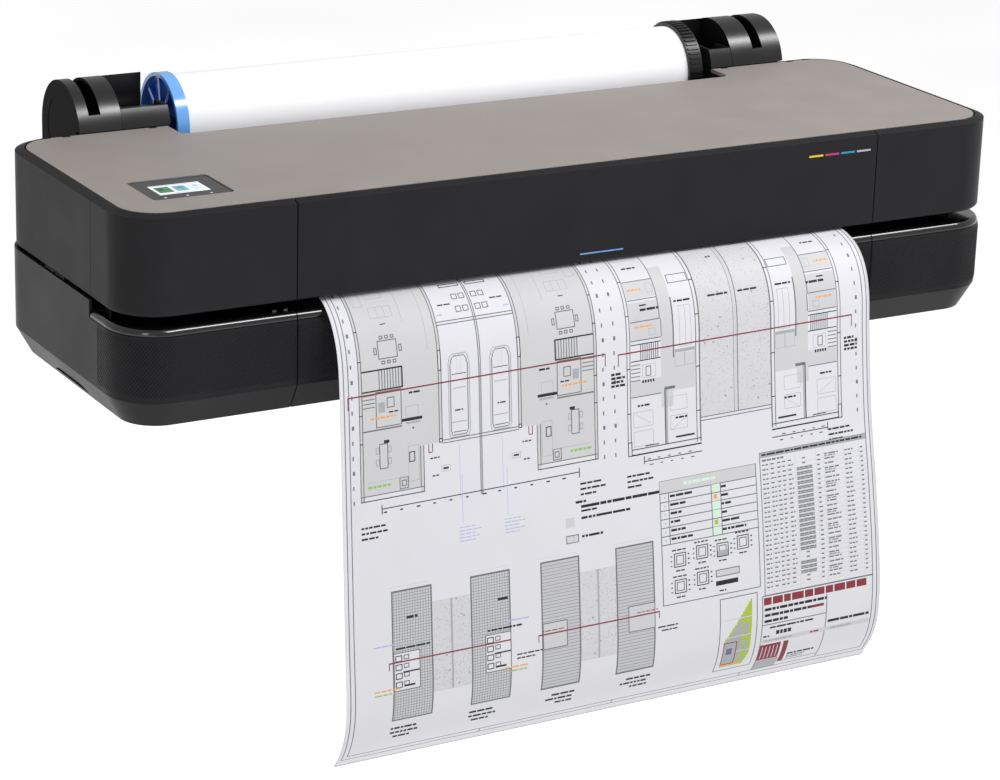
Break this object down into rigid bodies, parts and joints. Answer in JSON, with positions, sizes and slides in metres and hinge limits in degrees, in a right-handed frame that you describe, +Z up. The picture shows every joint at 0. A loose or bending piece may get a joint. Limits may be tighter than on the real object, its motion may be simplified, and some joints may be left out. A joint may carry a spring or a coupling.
{
  "type": "large format plotter",
  "caption": "Wide roll-fed inkjet plotter with a hinged full-width lid, a touch panel, a front output slot, a rear roll spindle and a printed sheet hanging out.",
  "frame": {"origin": "centre of the four stand bolt holes, on the underside of the base pan", "axes": "+X to the right seen from the front, +Y from the front to the back, +Z up"},
  "size_m": [1.017, 0.5212, 0.6281],
  "materials": {
    "case_black": "satin moulded",
    "case_ribbed": "fine diagonal ribs on satin",
    "gloss_black": "polished",
    "lid_taupe": "satin, very fine grain",
    "chassis_grey": "powder coated",
    "steel": "ground",
    "zinc_steel": "zinc plated sheet",
    "rubber_black": "matte",
    "roller_rubber": "ground grit",
    "inner_plastic": "matte moulded",
    "screen_glass": "gloss",
    "display": "backlit",
    "paper": "matte coated",
    "cardboard": "plain",
    "hub_blue": "translucent gloss",
    "hub_black": "semi-gloss",
    "holder_black": "semi-gloss moulded",
    "cradle_grey": "semi-gloss moulded",
    "belt": "fibre reinforced",
    "aluminium": "machined",
    "bronze_plastic": "self-lubricating",
    "circuit_green": "solder resist",
    "film": "clear film with fine lines",
    "ink_black": "gloss",
    "ink_cyan": "gloss",
    "ink_magenta": "gloss",
    "ink_yellow": "gloss",
    "mark_grey": "printed strip"
  },
  "bodies": {
    "case": {"base_pan": "zinc_steel", "rubber_feet": "rubber_black", "case_screws": "steel", "lower_front_panel": "case_ribbed", "lower_side_left": "case_ribbed", "lower_side_right": "case_ribbed", "rear_panel": "case_black", "upper_corner_left": "case_black", "upper_corner_right": "case_black", "upper_side_left": "case_black", "upper_side_right": "case_black", "slot_trim": "gloss_black", "hinge_pins": "steel", "output_platen": "gloss_black", "print_platen": "inner_plastic", "printed_sheet": "paper", "cradle_left": "cradle_grey", "cradle_right": "cradle_grey", "holder_left": "holder_black", "holder_right": "holder_black", "frame_plates": "zinc_steel", "carriage_rail": "steel", "carriage_belt": "belt", "motors": "zinc_steel", "feed_belt": "belt", "pinch_bar": "zinc_steel", "encoder_strip": "film", "service_station": "inner_plastic", "ink_bay": "inner_plastic", "main_board": "circuit_green", "power_supply": "zinc_steel", "power_inlet": "inner_plastic", "cartridge_black": "ink_black", "cartridge_cyan": "ink_cyan", "cartridge_magenta": "ink_magenta", "cartridge_yellow": "ink_yellow"},
    "lid": {"lid_panel": "lid_taupe", "lid_front_cover": "case_black", "lid_frame": "inner_plastic", "screen_glass": "screen_glass", "screen_display": "display", "mark_yellow": "ink_yellow", "mark_magenta": "ink_magenta", "mark_cyan": "ink_cyan", "mark_grey": "mark_grey"},
    "spindle_lift": {"spindle_bushings": "cradle_grey"},
    "spindle": {"spindle_shaft": "inner_plastic", "hub_blue": "hub_blue", "hub_black": "hub_black", "roll_core": "cardboard", "paper_roll": "paper"},
    "carriage": {"carriage": "inner_plastic", "printhead": "ink_black"},
    "drive_pulley": {"drive_pulley": "aluminium"},
    "idler_pulley": {"idler_pulley": "aluminium"},
    "feed_roller": {"feed_roller": "roller_rubber", "feed_pulley": "bronze_plastic"},
    "motor_pulley": {"motor_pulley": "aluminium"},
    "pinch_rollers": {"pinch_rollers": "rubber_black"},
    "cutter": {"cutter": "inner_plastic"}
  },
  "joints": [
    {"name": "lid_hinge", "type": "hinge", "parent": "case", "child": "lid", "pos_m": [0, 0.09, 0.21], "axis": [-1, 0, 0], "range_deg": [0, 62]},
    {"name": "spindle_lift", "type": "slide", "parent": "case", "child": "spindle_lift", "axis": [0, 0, 1], "range_m": [0, 0.15]},
    {"name": "roll_spin", "type": "hinge", "parent": "spindle_lift", "child": "spindle", "pos_m": [0, 0.143, 0.2045], "axis": [1, 0, 0], "continuous": true},
    {"name": "carriage_slide", "type": "slide", "parent": "case", "child": "carriage", "axis": [1, 0, 0], "range_m": [-0.8, 0]},
    {"name": "drive_pulley_spin", "type": "hinge", "parent": "case", "child": "drive_pulley", "pos_m": [-0.465, -0.038, 0.15], "axis": [0, 0, 1], "continuous": true},
    {"name": "idler_pulley_spin", "type": "hinge", "parent": "case", "child": "idler_pulley", "pos_m": [0.465, -0.038, 0.15], "axis": [0, 0, 1], "continuous": true},
    {"name": "feed_spin", "type": "hinge", "parent": "case", "child": "feed_roller", "pos_m": [0, -0.015, 0.1002], "axis": [1, 0, 0], "continuous": true},
    {"name": "motor_pulley_spin", "type": "hinge", "parent": "case", "child": "motor_pulley", "pos_m": [-0.49, -0.015, 0.0542], "axis": [1, 0, 0], "continuous": true},
    {"name": "pinch_spin", "type": "hinge", "parent": "case", "child": "pinch_rollers", "pos_m": [0, -0.015, 0.1181], "axis": [1, 0, 0], "continuous": true},
    {"name": "cutter_slide", "type": "slide", "parent": "case", "child": "cutter", "axis": [1, 0, 0], "range_m": [-0.66, 0]}
  ],
  "couplings": [
    {"joint": "drive_pulley_spin", "follows": "carriage_slide", "rad_per_m": 125},
    {"joint": "idler_pulley_spin", "follows": "carriage_slide", "rad_per_m": 125},
    {"joint": "motor_pulley_spin", "follows": "feed_spin", "ratio": 3},
    {"joint": "pinch_spin", "follows": "feed_spin", "ratio": -2.4}
  ]
}
